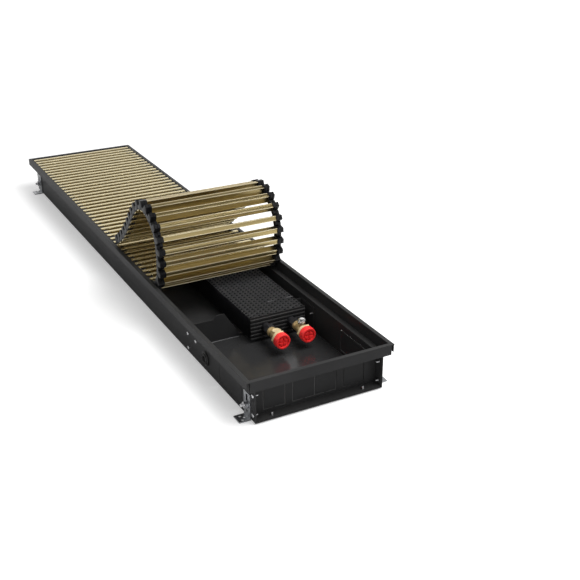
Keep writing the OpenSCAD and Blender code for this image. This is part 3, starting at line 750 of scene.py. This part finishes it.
@dataclass(frozen=True)
class Fasteners:
    """Screws, bolts and nuts, drawn along +Z from the underside of the head."""

    head_r: float = 3.4
    shank_r: float = 1.55
    recess: Pair = (0.2592, 1.152)
    face_share: float = 0.97

    def screw(self, length: float, head_t: float) -> Mesh:
        """Self-tapping pan-head screw with a cross recess.

        Args:
            length: Length under the head.
            head_t: Height of the head.

        Returns:
            The template mesh.
        """
        piece = Workpiece()
        r, t = self.head_r, head_t
        hole, floor = 1.45, -t * 0.35
        piece.turned([(0.0, floor), (hole, floor), (hole, -t), (r * 0.55, -t), (r * 0.8, -t * 0.86),
                      (r * 0.96, -t * 0.5), (r, -t * 0.15), (r * 0.97, 0.0), (self.shank_r, 0.0),
                      (self.shank_r, length * 0.82), (0.0, length)], (0, 0, 0), (0, 0, 1), 28)
        for sx in (-1, 1):
            for sy in (-1, 1):
                (x0, x1), (y0, y1) = (sorted(s * edge for edge in self.recess) for s in (sx, sy))
                piece.box((x0, y0, -t * 0.985), (x1, y1, floor + 0.1), 0.08, 1)
        piece.thread(self.shank_r, 0.22, 1.3, length * 0.92, (0, 0, 0.2), (0, 0, 1), 12)
        return piece.template("screw_%g" % length)

    def bolt(self, reach: float, head_t: float, head_r: float, radius: float) -> Mesh:
        """Bolt with a low round head and a threaded end.

        Args:
            reach: Length under the head.
            head_t: Height of the head.
            head_r: Radius of the head.
            radius: Radius of the shank.

        Returns:
            The template mesh.
        """
        piece = Workpiece()
        piece.turned([(0.0, -head_t), (head_r * 0.7, -head_t), (head_r, -head_t * 0.45), (head_r, 0.0),
                      (radius * 0.9, 0.0), (radius * 0.9, reach - 0.7), (radius * 0.68, reach), (0.0, reach)],
                     (0, 0, 0), (0, 0, 1), 32)
        piece.thread(radius * 0.9, radius * 0.1, 1.0, reach - 3.4, (0, 0, 3.0), (0, 0, 1), 16)
        return piece.template("bolt")

    def hexagon(self, radius: float, thick: float, chamfer: float, name: str) -> Mesh:
        """Hexagonal bar along +Z whose corners are turned down at the ends.

        The first end gets its own chamfer only where single precision holds the chamfer exactly. Otherwise
        its ring joins the one at the other end, and the bar tapers towards the first end.

        Args:
            radius: Radius over the corners.
            thick: Length along Z.
            chamfer: How far the turned chamfer runs along the bar at the corners.
            name: Name of the mesh.

        Returns:
            The template mesh.
        """
        piece = Workpiece()
        bm = piece.bm
        ring = [bm.verts.new((x, y, 0.0)) for x, y in arc((0.0, 0.0), radius, 0.0, 300.0, 5)]
        bm.faces.new(ring)
        bmesh.ops.subdivide_edges(bm, edges=bm.edges[:], cuts=5, use_grid_fill=False)
        flat_r = radius * math.cos(math.pi / 6)
        face = bm.faces[:][0]
        for level in (chamfer, thick - chamfer, thick):
            moved, face = piece.extrude(face)
            for vert in moved:
                vert.co.z = level
        for vert in bm.verts:
            reach = math.hypot(vert.co.x, vert.co.y)
            share = max((reach - flat_r) / (radius - flat_r), 0.0)
            if vert.co.z in (0.0, thick):
                pull = self.face_share
                if share > 0:
                    pull = (flat_r * self.face_share + (reach - flat_r) * 0.25) / reach
                vert.co.x *= pull
                vert.co.y *= pull
            else:
                drop = chamfer * (0.15 + 0.85 * share)
                vert.co.z = drop if vert.co.z == chamfer else thick - drop
        return piece.template(name)


FASTENERS = Fasteners()


@dataclass
class Casing:
    """Cross supports, floor coating and screws of the folded trough."""

    wall_x: float = 114.0
    wall_in: float = 112.8
    sheet_t: float = 1.2
    end_screw_y: float = 606.0
    end_screw_z: Pair = (13.0, 47.0)
    base_screw_x: float = 82.0
    floor_under_z: float = 2.0
    support_y: tuple[float, ...] = (-345.4, 68.6, 482.6)
    support_base: float = 3.2
    support_low: float = 8.5
    support_left: float = 47.0
    support_right: float = 50.3
    tab_l: float = 50.0
    support_screw_y: Pair = (-355.4, -389.4)
    support_screw_z: float = 38.0
    low_screw_z: float = 10.0
    screw_l: float = 9.0
    coating: tuple[Point, Point] = ((-111.6, -600.0, 3.15), (111.6, -348.5, 3.32))

    def build(self) -> None:
        """Makes the supports, coats the floor and drives the screws."""
        self._supports()
        sheet = Workpiece()
        sheet.box(*self.coating)
        sheet.finish("floor_coating", "casing", FLOOR_SATIN, "casing_black", (), False)
        side, base = (FASTENERS.screw(self.screw_l, head_t) for head_t in (2.0, 1.4))
        ends, held = Workpiece(), Workpiece()
        for sx in (-1, 1):
            for sy in (-1, 1):
                y = sy * self.end_screw_y
                for n, z in enumerate(self.end_screw_z):
                    spin = rotation(23 + 41 * n + 17 * sx + 11 * sy)
                    ends.stamp(side, turn_to((sx * self.wall_x, y, z), (-sx, 0, 0)) @ spin)
                ends.stamp(base, turn_to((sx * self.base_screw_x, y, self.floor_under_z), (0, 0, 1)))
            for n, y in enumerate(self.support_screw_y):
                spin = rotation(31 + 37 * n + 13 * sx)
                held.stamp(side, turn_to((sx * self.wall_x, y, self.support_screw_z), (-sx, 0, 0)) @ spin)
        held.stamp(side, turn_to((-self.wall_x, self.support_screw_y[0], self.low_screw_z), (1, 0, 0)))
        ends.finish("end_screws", "casing", SCREW_ZINC, "zinc", ("end_panel_screws",), False)
        held.finish("exchanger_screws", "casing", SCREW_ZINC, "zinc", ("support_screws",), False)

    def _supports(self) -> None:
        """Thin cross supports that carry the fins, each with a tab on both walls."""
        wall, base, low, left = self.wall_in, self.support_base, self.support_low, self.support_left
        right = self.support_right
        outline = ([(-wall, base), (-wall, left), (-79.5, left)] + arc((-54.5, left), 7.0, 180.0, 90.0, 6)
                   + [(-41.5, 54.0), (-12.8, low), (100.5, low), (100.5, right), (wall, right), (wall, base)])
        blank = Workpiece()
        blank.prism(outline, 0.0, self.sheet_t)
        cut = blank.template("support_sheet")
        piece = Workpiece()
        for y in self.support_y:
            piece.stamp(cut, Matrix.Translation((0, y, 0)) @ rotation(-90))
            piece.box((-wall, y - self.tab_l, low), (self.sheet_t - wall, y, left))
            piece.box((wall - self.sheet_t, y - self.tab_l, low), (wall, y, right))
        piece.finish("cross_supports", "casing", CASING_BLACK, "casing_black", ("exchanger_supports",), False)


@dataclass
class Exchanger:
    """Wavy fins of the exchanger, and light grey strips on and beside it that are painted highlights along plate
    edges.
    """

    left: float = -7.5
    right: float = 100.5
    low: float = 8.5
    high: float = 51.5
    first_y: float = -382.0
    last_y: float = 518.0
    fins: int = 196
    thick: float = 0.5
    waves: float = 6.43
    columns: int = 45
    swing: float = 1.15
    lip_h: float = 0.5
    lip_drop: float = 2.2
    lip_shift: float = 1.1
    strip_x: tuple[Pair, ...] = ((48.0, 63.0), (86.0, 100.0))
    strip_y: float = -336.0
    strip_half: float = 0.6
    strip_z: Pair = (51.3, 52.4)
    floor_strip: tuple[Point, Point] = ((-111.0, -348.0, 3.3), (-14.0, -346.7, 4.6))
    strip_round: float = 0.2

    def build(self) -> None:
        """Makes the fins and the strips."""
        stack, plates = Workpiece(), Workpiece()
        patterns = [self._lip(phase) for phase in (1.0, -1.0)]
        plate = self._plate()
        pitch = (self.last_y - self.first_y) / (self.fins + 1)
        for k in range(1, self.fins + 1):
            place = Matrix.Translation((0, self.first_y + k * pitch, 0))
            stack.stamp(patterns[k % 2], place)
            plates.stamp(plate, place)
        # The lips carry the light grey as painted light on the fins' lit tops, and the plates below stay black.
        stack.finish("wavy_lips", "casing", FIN_LIT_TOP, "exchanger_black", (), False)
        plates.finish("fin_plates", "casing", PIPE_BLACK, "exchanger_black", ("exchanger_fins",), False)
        # Thin light grey strips on the support edges above the fins and at the foot of the front support, as
        # painted highlight lines.
        strips = Workpiece()
        for start, end in self.strip_x:
            low = (start, self.strip_y - self.strip_half, self.strip_z[0])
            strips.box(low, (end, self.strip_y + self.strip_half, self.strip_z[1]), self.strip_round, 1)
        strips.box(*self.floor_strip, self.strip_round, 1)
        strips.finish("highlight_strips", "casing", STRIP_HIGHLIGHT, "exchanger_black", (), False)

    def _plate(self) -> Mesh:
        """One thin flat fin, upright at Y 0."""
        piece = Workpiece()
        half = self.thick / 2
        piece.box((self.left, -half, self.low), (self.right, half, self.high - self.lip_h))
        return piece.template("fin_plate")

    def _lip(self, phase: float) -> Mesh:
        """The band that waves along the top of a fin, an upright sheet without thickness.

        The faces keep the grid's upward normals, so solidify draws the band down and gives it no thickness.

        Args:
            phase: 1 or -1, for fins whose waves face each other and leave the holes of the top.

        Returns:
            The template mesh, upright at Y 0.
        """
        piece = Workpiece()
        lip = bmesh.ops.create_grid(piece.bm, x_segments=self.columns, y_segments=1, size=0.5)["verts"]
        width = self.right - self.left
        faces = list({f for v in lip for f in v.link_faces})
        for vert in lip:
            share, level = vert.co.x + 0.5, vert.co.y + 0.5
            wave = self.swing * phase * math.sin(math.tau * self.waves * share)
            vert.co = (self.left + share * width, wave - self.lip_shift, self.high + (level - 1) * self.lip_h)
        bmesh.ops.solidify(piece.bm, geom=faces, thickness=self.lip_drop)
        return piece.template("fin_lip")


@dataclass
class Connections:
    """Union nuts, the two valves with their tops, and the protective caps."""

    tube_x: Pair = (21.5, 71.5)
    axis_z: float = 30.0
    union_y: Pair = (-403.0, -392.0)
    union_r: float = 10.5
    collar_y: Pair = (-437.5, -431.0)
    collar_r: float = 15.2
    body_r: float = 7.8
    spigot_r: float = 11.5
    spigot_end: float = -444.0
    spindle_y: float = -422.6
    spindle_r: float = 4.8
    boss_z: Pair = (39.5, 42.0)
    disc_r: float = 8.0
    knob_r: float = 8.2
    knob_grooves: int = 12
    cap_r: float = 14.0
    cap_y: Pair = (-448.5, -437.8)
    cap_seat_y: float = -445.2
    cap_ribs: int = 48

    def build(self) -> None:
        """Makes the connection pieces."""
        self._unions()
        self._valve("lockshield_casting", "lockshield_body", self.tube_x[0], self.boss_z[0])
        self._valve("thermostatic_casting", "valve_body", self.tube_x[1], self.boss_z[1])
        self._disc()
        self._knob()
        for side, x in zip(("left", "right"), self.tube_x):
            self._cap(side, x)

    def _unions(self) -> None:
        """Hexagonal nuts on the tube ends."""
        near, far = self.union_y
        hexagon = FASTENERS.hexagon(self.union_r, far - near, 1.0, "union_hexagon")
        piece = Workpiece()
        for n, x in enumerate(self.tube_x):
            piece.stamp(hexagon, turn_to((x, near, self.axis_z), (0, 1, 0)) @ rotation(8 + 19 * n))
        piece.finish("union_nut_pair", "casing", PIPE_BLACK, "copper_black", ("union_nuts",), False)

    def _valve(self, name: str, node: str, x: float, boss_z: float) -> None:
        """Brass valve with its hexagonal collar, spindle boss and threaded spigot.

        Args:
            name: Name of the piece.
            node: CAD node that it stands for.
            x: Place across the casing.
            boss_z: Top of the spindle boss.
        """
        piece = Workpiece()
        far = self.union_y[0]
        near, behind = self.collar_y
        r = self.body_r
        length = far - behind
        piece.turned([(0.0, 0.0), (r + 1.6, 0.0), (r + 1.6, 1.4), (r, 2.4), (r - 0.4, 4.0), (r + 0.6, 6.0),
                      (r + 1.0, length * 0.4), (r + 0.6, length - 9.0), (r - 0.6, length - 6.5),
                      (r - 0.6, length - 4.0), (r + 0.8, length - 3.0), (r + 0.8, length), (0.0, length)],
                     (x, behind, self.axis_z), (0, 1, 0), 48)
        rise = boss_z - self.axis_z
        s = self.spindle_r
        piece.turned([(0.0, 0.0), (s, 0.0), (s, rise - 3.2), (s - 0.7, rise - 2.6), (s - 0.7, rise - 1.6),
                      (s, rise - 1.2), (s, rise - 0.5), (s - 0.5, rise), (3.05, rise), (3.05, rise - 1.5),
                      (0.0, rise - 1.5)], (x, self.spindle_y, self.axis_z), (0, 0, 1), 48)
        piece.finish(name, "casing", CAST_BRASS, "brass", (node,))
        piece = Workpiece()
        # The collar is not welded, so the spigot keeps inward faces and empty ones on its axis.
        collar = FASTENERS.hexagon(self.collar_r * 0.985, behind - near, 1.1, "collar_hexagon")
        piece.stamp(collar, turn_to((x, near, self.axis_z), (0, 1, 0)))
        spigot = self.spigot_r
        piece.turned([(0.0, 0.0), (spigot - 1.2, 0.0), (spigot - 0.4, 0.8), (spigot - 0.4, near - self.spigot_end),
                      (0.0, near - self.spigot_end)], (x, self.spigot_end, self.axis_z), (0, 1, 0), 40)
        piece.finish(name.replace("casting", "collar"), "casing", BRASS, "brass", (), False)

    def _disc(self) -> None:
        """Brass disc with a turned step, on its stem."""
        piece = Workpiece()
        r = self.disc_r
        piece.turned([(0.0, -3.0), (2.9, -3.0), (2.9, 0.3), (r - 0.6, 0.3), (r, 0.7), (r, 1.5), (r - 0.7, 2.2),
                      (r - 1.8, 2.5), (r - 2.2, 2.3), (3.2, 2.3), (2.8, 1.9), (0.0, 1.9)],
                     (self.tube_x[0], self.spindle_y, self.boss_z[0]), (0, 0, 1), 64)
        piece.finish("lockshield_disc", "lockshield_top", BRASS, "brass", ("lockshield_cap",))

    def _knob(self) -> None:
        """Domed knob with fluted sides and a narrow waist."""
        piece = Workpiece()
        bm = piece.bm
        ring = bmesh.ops.create_circle(bm, cap_ends=True, radius=1.0, segments=self.knob_grooves * 8)["verts"]
        face = bm.faces[:][0]
        where = Vector((self.tube_x[1], self.spindle_y, self.boss_z[1]))
        turns = {v: math.atan2(v.co.y, v.co.x) for v in ring}
        r = self.knob_r
        levels = [(r - 1.8, 1.2, 0.1), (r - 0.9, 2.0, 0.7), (r - 0.2, 3.2, 0.8), (r, 4.6, 0.8),
                  (r - 0.1, 5.9, 0.8), (r - 0.6, 7.2, 0.8), (r - 1.5, 8.4, 0.7), (r - 2.8, 9.2, 0.4),
                  (r - 4.4, 9.65, 0.1), (0.6, 9.8, 0.0)]
        for n, (radius, level, groove) in enumerate(levels):
            if n:
                ring, face = piece.extrude(face)
                for vert in ring:
                    turns[vert] = math.atan2(vert.co.y - where.y, vert.co.x - where.x)
            for vert in ring:
                wave = 0.5 - 0.5 * math.cos(self.knob_grooves * turns[vert] + math.pi * n)
                reach = radius - groove * wave * wave
                vert.co = where + Vector((reach * math.cos(turns[vert]), reach * math.sin(turns[vert]), level))
        piece.turned([(0.0, -3.0), (2.9, -3.0), (2.9, 0.3), (r - 1.9, 0.3), (r - 1.6, 0.6), (r - 1.6, 1.6),
                      (r - 1.2, 2.0), (0.0, 2.0)], tuple(where), (0, 0, 1), 64)
        piece.finish("fluted_knob", "knob", NICKEL, "nickel", ("valve_knob",))

    def _cap(self, side: str, x: float) -> None:
        """Red screw-on cap with a ring groove, a sunk cross and a finely ribbed skirt.

        Args:
            side: left or right.
            x: Place across the casing.
        """
        piece = Workpiece()
        face, back = self.cap_y
        depth = back - face
        r, seat = self.cap_r, self.cap_seat_y - face
        piece.turned([(0.0, 2.4), (8.9, 2.4), (9.9, 2.2), (10.1, 0.6), (10.4, 0.15), (10.9, 0.0), (12.6, 0.0),
                      (13.2, 0.25), (13.7, 0.8), (r - 0.25, 1.6), (r - 0.25, depth - 0.9), (r, depth - 0.7),
                      (r, depth), (11.55, depth), (11.55, seat), (0.0, seat)],
                     (x, face, self.axis_z), (0, 1, 0), 72)
        pad = Workpiece()
        pad.prism([(1.2, 1.2)] + arc((0.0, 0.0), 7.7, 9.0, 81.0, 10), 0.35, 2.6, 0.3)
        quarter = pad.template("cap_pad")
        centre = Matrix.Translation((x, face, self.axis_z))
        for k in range(4):
            piece.stamp(quarter, centre @ rotation(90 * k, "Y") @ rotation(90))
        rib = Workpiece()
        rib.box((r - 0.6, 1.9, -0.32), (r - 0.02, depth - 1.0, 0.32), 0.12, 1)
        mesh = rib.template("cap_rib")
        for k in range(self.cap_ribs):
            piece.stamp(mesh, centre @ rotation(360 * k / self.cap_ribs, "Y"))
        piece.finish("red_cap_" + side, side + "_cap", CAP_RED, "cap_red", ("protective_cap_" + side,))


@dataclass
class CableEntry:
    """Ribbed rubber grommet in the left wall."""

    wall_out: float = -114.0
    wall_in: float = -112.8
    y: float = -430.0
    z: float = 25.0
    radius: float = 12.5
    bore: float = 6.0

    def build(self) -> None:
        """Turns the grommet with its concentric ribs."""
        piece = Workpiece()
        r, b = self.radius, self.bore
        wall = self.wall_out - self.wall_in
        profile = [(b, 3.0), (r - 0.8, 3.0), (r, 2.2), (r, 0.1), (9.0, 0.0), (9.0, wall), (r, wall - 0.1),
                   (r, wall - 2.0), (r - 0.9, wall - 3.0), (r - 2.2, wall - 2.6), (10.2, wall - 2.9),
                   (9.6, wall - 4.3), (8.8, wall - 4.5), (8.5, wall - 3.3), (7.8, wall - 3.3), (7.4, wall - 4.3),
                   (6.5, wall - 4.4), (b, wall - 3.8), (b, 3.0)]
        piece.turned(profile, (self.wall_in, self.y, self.z), (1, 0, 0), 56)
        piece.finish("ribbed_grommet", "casing", RUBBER, "rubber", ("cable_grommet",))


@dataclass
class Feet:
    """Bolts and nuts of the levelling brackets."""

    wall_in: float = 112.8
    nut_x: float = 117.2
    nut_r: float = 5.8
    nut_t: float = 5.0
    bolt_end_x: float = 127.2
    y: float = 588.0
    z: float = 24.0

    def build(self) -> None:
        """Makes the bolts and nuts."""
        bolt = FASTENERS.bolt(self.bolt_end_x - self.wall_in, 3.0, 4.6, 3.0)
        nut = FASTENERS.hexagon(self.nut_r, self.nut_t, 0.55, "nut")
        bolts, nuts = Workpiece(), Workpiece()
        for sy in (-1, 1):
            for sx in (-1, 1):
                outwards = (sx, 0, 0)
                bolts.stamp(bolt, turn_to((sx * self.wall_in, sy * self.y, self.z), outwards))
                place = turn_to((sx * self.nut_x, sy * self.y, self.z), outwards)
                nuts.stamp(nut, place @ rotation(12 + 15 * sx * sy))
        bolts.finish("levelling_bolts", "casing", SCREW_ZINC, "zinc", ("bracket_bolts",), False)
        nuts.finish("levelling_nuts", "casing", SCREW_ZINC, "zinc", ("bracket_nuts",), False)


@dataclass
class Grille:
    """Roll-up mat of gold slats joined by black links, its near end rolled back."""

    pitch: float = 20.0
    first_hinge: Pair = (-210.0, 75.0)
    bends_deg: tuple[float, ...] = (26, 26, 26, 9, 8, 16, 23, 14, 15, 22, 20, 14, 7, 1, 1, -2, -4, -6, -4, -2.965)
    fixed: int = 41
    first_fixed_y: float = -200.0
    slat_w: float = 9.0
    slat_h: float = 18.0
    top: float = 5.0
    flange_t: float = 1.8
    crown: float = 1.1
    edge_w: float = 1.35
    edge_h: float = 1.5
    web_t: float = 1.6
    flange_x: float = 121.4
    web_x: float = 110.35
    link_x: Pair = (110.4, 122.4)
    core_l: float = 13.0
    core_low: float = -14.9
    core_foot_l: float = 8.4
    core_top: float = 3.15
    ear_r: float = 4.8
    bite_r: float = 5.3
    pin_r: float = 2.0

    def build(self) -> None:
        """Makes the flat and the rolled part of the mat."""
        flat = [Matrix.Translation((0, self.first_fixed_y + k * self.pitch, self.first_hinge[1]))
                for k in range(self.fixed)]
        rolled = self._rolled()
        # The webs take a darker olive copy of the slat gold as painted shade between the slats.
        for name, mat, mesh, look in (("slat", "flat_slats", self._slat(), GRILLE_GOLD),
                                      ("web", "flat_webs", self._web(), GRILLE_PAINTED_SHADE),
                                      # The edge strips take a paler gold as painted highlight.
                                      ("edges", "flat_edges", self._beads(), GRILLE_EDGE_HIGHLIGHT)):
            stands = name == "slat"
            piece = Workpiece()
            for place in flat:
                piece.stamp(mesh, place)
            piece.finish(mat, "casing", look, "grille_gold", ("fixed_slats",) if stands else (), False)
            for n, place in enumerate(rolled, 1):
                body = "grille_link_%02d" % n
                piece = Workpiece()
                piece.stamp(mesh, place)
                piece.finish("%s_%02d" % (name, n), body, look, "grille_gold", (body,) if stands else (), False)
        links = {ears: self._links(*ears) for ears in ((True, True), (False, True), (True, False))}
        flips = {"right": Matrix.Identity(4), "left": Matrix.Diagonal((-1, 1, 1, 1))}
        for side, flip in flips.items():
            piece = Workpiece()
            for k, place in enumerate(flat, 1):
                piece.stamp(links[(k < len(flat), True)], place @ flip)
            piece.finish("flat_links_" + side, "casing", LINK_BLACK, "link_black", ("fixed_links_" + side,))
        for n, place in enumerate(rolled, 1):
            body = "grille_link_%02d" % n
            piece = Workpiece()
            for flip in flips.values():
                piece.stamp(links[(True, n < len(rolled))], place @ flip)
            piece.finish("link_ends_%02d" % n, body, LINK_BLACK, "link_black", (body,))

    def _rolled(self) -> list[Matrix]:
        """Places of the rolled slats, each turned on from the one before by its bend.

        Returns:
            Their matrices, from the flat part on.
        """
        places = []
        direction, hinge = 0.0, Vector((0.0, *self.first_hinge))
        for bend in self.bends_deg:
            direction += bend
            back = Matrix.Translation((0, -self.pitch / 2, 0))
            places.append(Matrix.Translation(hinge) @ rotation(-direction, "X") @ back)
            along = math.radians(direction)
            hinge = hinge + self.pitch * Vector((0, -math.cos(along), math.sin(along)))
        return places

    def _slat(self) -> Mesh:
        """Top flange of a slat, its hinge line at Z 0; it runs over the links.

        Returns:
            The template mesh.
        """
        piece = Workpiece()
        half, t, drop = self.slat_w / 2, self.flange_t, self.crown
        top, corner = self.top, 0.3 * drop
        upper = [(-half, top - t), (half, top - t), (half, top - drop), (half - corner, top - corner),
                 (half - drop, top), (drop - half, top), (corner - half, top - corner), (-half, top - drop)]
        piece.prism(upper, -self.flange_x, self.flange_x, 0.3, True)
        return piece.template("slat")

    def _beads(self) -> Mesh:
        """Strips along the edges of the lower flange, in a paler gold as painted highlight; they face outwards
        where the mat is rolled.

        Returns:
            The template mesh.
        """
        piece = Workpiece()
        half, low = self.slat_w / 2, self.top - self.slat_h
        for start, end in ((-half, self.edge_w - half), (half - self.edge_w, half)):
            piece.box((-self.web_x, start, low), (self.web_x, end, low + self.edge_h), 0.35)
        return piece.template("slat_edges")

    def _web(self) -> Mesh:
        """Web and lower flange of a slat, finished in a darker olive copy of the slat gold as painted shade.

        Returns:
            The template mesh.
        """
        piece = Workpiece()
        half, web, low, t = self.slat_w / 2, self.web_t / 2, self.top - self.slat_h, self.flange_t
        face, side = low + 0.35, half - 0.3
        lower = [(-side, face), (side, face), (side, low + t), (web, low + t), (web, self.top - t / 2),
                 (-web, self.top - t / 2), (-web, low + t), (-side, low + t)]
        piece.prism(lower, 0.2 - self.web_x, self.web_x - 0.2, 0.3, True)
        return piece.template("slat_web")

    def _links(self, towards_far: bool, towards_near: bool) -> Mesh:
        """Black end link on the right side, with its pin.

        Args:
            towards_far: Whether it has the ear with the pin.
            towards_near: Whether it has the ear with the hole.

        Returns:
            The template mesh.
        """
        piece = Workpiece()
        start, end = self.link_x
        middle = (start + end) / 2
        piece.prism(self._plate(1, towards_far), start, middle - 0.2, 0.45)
        piece.prism(self._plate(-1, towards_near), middle + 0.2, end, 0.45)
        piece.box((middle - 0.8, -4.5, self.core_low + 0.6), (middle + 0.8, 4.5, self.core_top - 0.5))
        if towards_far:
            r = self.pin_r
            piece.turned([(0.0, 0.0), (r, 0.0), (r, 5.9), (r - 0.35, 6.25), (0.0, 6.25)],
                         (middle - 0.3, self.pitch / 2, 0), (1, 0, 0), 20)
        return piece.template("link")

    def _plate(self, side: int, eared: bool) -> Outline:
        """Outline of a link plate whose ear, if any, points to a side and whose bite is on the other.

        Args:
            side: 1 for an ear towards +Y, -1 towards -Y.
            eared: Whether it has the ear.

        Returns:
            The outline as (y, z).
        """
        half, top, low = self.core_l / 2, self.core_top, self.core_low
        hinge = self.pitch / 2
        bite_low = -math.degrees(math.acos((hinge - half) / self.bite_r))
        bite_high = math.degrees(math.asin(top / self.bite_r))
        bite = arc((-hinge, 0), self.bite_r, bite_high, bite_low, 7)
        if eared:
            ear_high = math.degrees(math.asin(top / self.ear_r))
            nose = [(half, -self.ear_r)] + arc((hinge, 0), self.ear_r, -90, ear_high, 10)
        else:
            nose = [(half, top)]
        foot = self.core_foot_l / 2
        neck, waist = half - 0.4, -self.ear_r - 2.2
        outline = [(-foot, low), (foot, low), (neck, waist)] + nose + bite + [(-neck, waist)]
        if side < 0:
            outline = [(-y, z) for y, z in reversed(outline)]
        return outline


def main() -> None:
    logging.basicConfig(level=logging.INFO, format="%(name)s: %(message)s")
    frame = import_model()
    Studio().build()
    coat(frame["nodes"])
    for assembly in (Casing(), Exchanger(), Connections(), CableEntry(), Feet(), Grille()):
        assembly.build()


if __name__ == "__main__":
    main()
